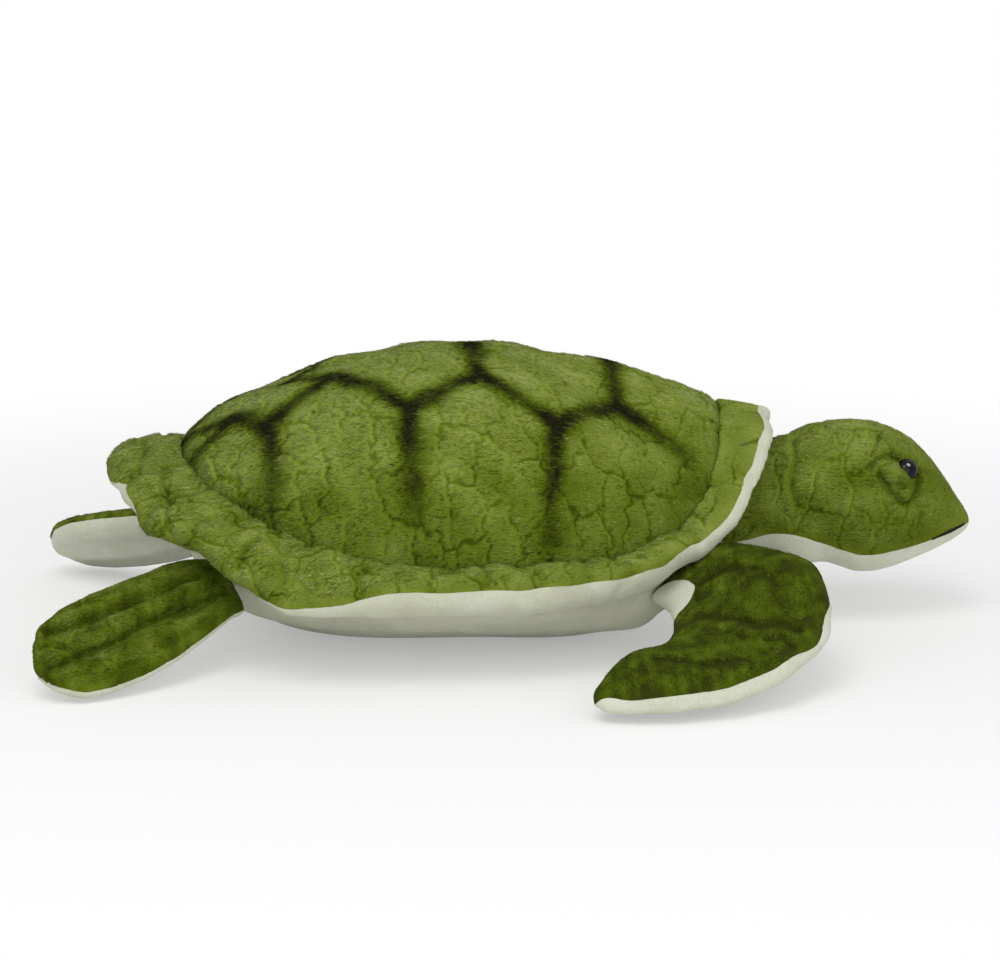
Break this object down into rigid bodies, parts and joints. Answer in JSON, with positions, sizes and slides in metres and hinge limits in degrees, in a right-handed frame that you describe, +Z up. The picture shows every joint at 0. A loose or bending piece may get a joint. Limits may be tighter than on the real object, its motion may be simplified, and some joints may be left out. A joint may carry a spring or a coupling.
{
  "type": "plush sea turtle",
  "caption": "Stuffed sea turtle lying on its belly, with a domed shell, a soft brim, a nodding head on a short neck, and padded flippers that flap at their seams.",
  "frame": {"origin": "middle of the flat patch of the belly that the toy rests on", "axes": "+X to the nose, +Z up, -Y to the toy's right side"},
  "size_m": [0.5976, 0.4776, 0.184],
  "materials": {
    "green_plush": "short dense pile with a sheen",
    "white_plush": "short smooth pile",
    "filling": "loose polyester fibre",
    "mouth_thread": "twisted thread",
    "eye_plastic": "polished",
    "washer_plastic": "as moulded"
  },
  "bodies": {
    "body": {"carapace_cover": "green_plush", "plastron_cover": "white_plush", "body_stuffing": "filling", "brim_top": "green_plush", "brim_underside": "white_plush", "brim_stuffing": "filling"},
    "head": {"head_cover": "green_plush", "chin_cover": "white_plush", "head_stuffing": "filling", "mouth_stitch": "mouth_thread", "eye_right": "eye_plastic", "eye_left": "eye_plastic", "eye_washer_right": "washer_plastic", "eye_washer_left": "washer_plastic"},
    "front_flipper_right": {"front_flipper_right_top": "green_plush", "front_flipper_right_underside": "white_plush", "front_flipper_right_stuffing": "filling"},
    "front_flipper_left": {"front_flipper_left_top": "green_plush", "front_flipper_left_underside": "white_plush", "front_flipper_left_stuffing": "filling"},
    "rear_flipper_right": {"rear_flipper_right_top": "green_plush", "rear_flipper_right_underside": "white_plush", "rear_flipper_right_stuffing": "filling"},
    "rear_flipper_left": {"rear_flipper_left_top": "green_plush", "rear_flipper_left_underside": "white_plush", "rear_flipper_left_stuffing": "filling"}
  },
  "joints": [
    {"name": "head_nod", "type": "hinge", "parent": "body", "child": "head", "pos_m": [0.172, 0, 0.0825], "axis": [0, 1, 0], "range_deg": [-12, 18], "stiffness_Nm_per_rad": 2},
    {"name": "front_right_flap", "type": "hinge", "parent": "body", "child": "front_flipper_right", "pos_m": [0.139, -0.0985, 0.0475], "axis": [-0.7842, -0.578, -0.2257], "range_deg": [-25, 20]},
    {"name": "front_left_flap", "type": "hinge", "parent": "body", "child": "front_flipper_left", "pos_m": [0.139, 0.0985, 0.0475], "axis": [0.7842, -0.578, 0.2257], "range_deg": [-25, 20]},
    {"name": "rear_right_flap", "type": "hinge", "parent": "body", "child": "rear_flipper_right", "pos_m": [-0.1518, -0.0875, 0.042], "axis": [-0.4896, 0.6653, 0.5636], "range_deg": [-20, 11]},
    {"name": "rear_left_flap", "type": "hinge", "parent": "body", "child": "rear_flipper_left", "pos_m": [-0.1518, 0.0875, 0.042], "axis": [0.4896, 0.6653, -0.5636], "range_deg": [-20, 11]}
  ]
}
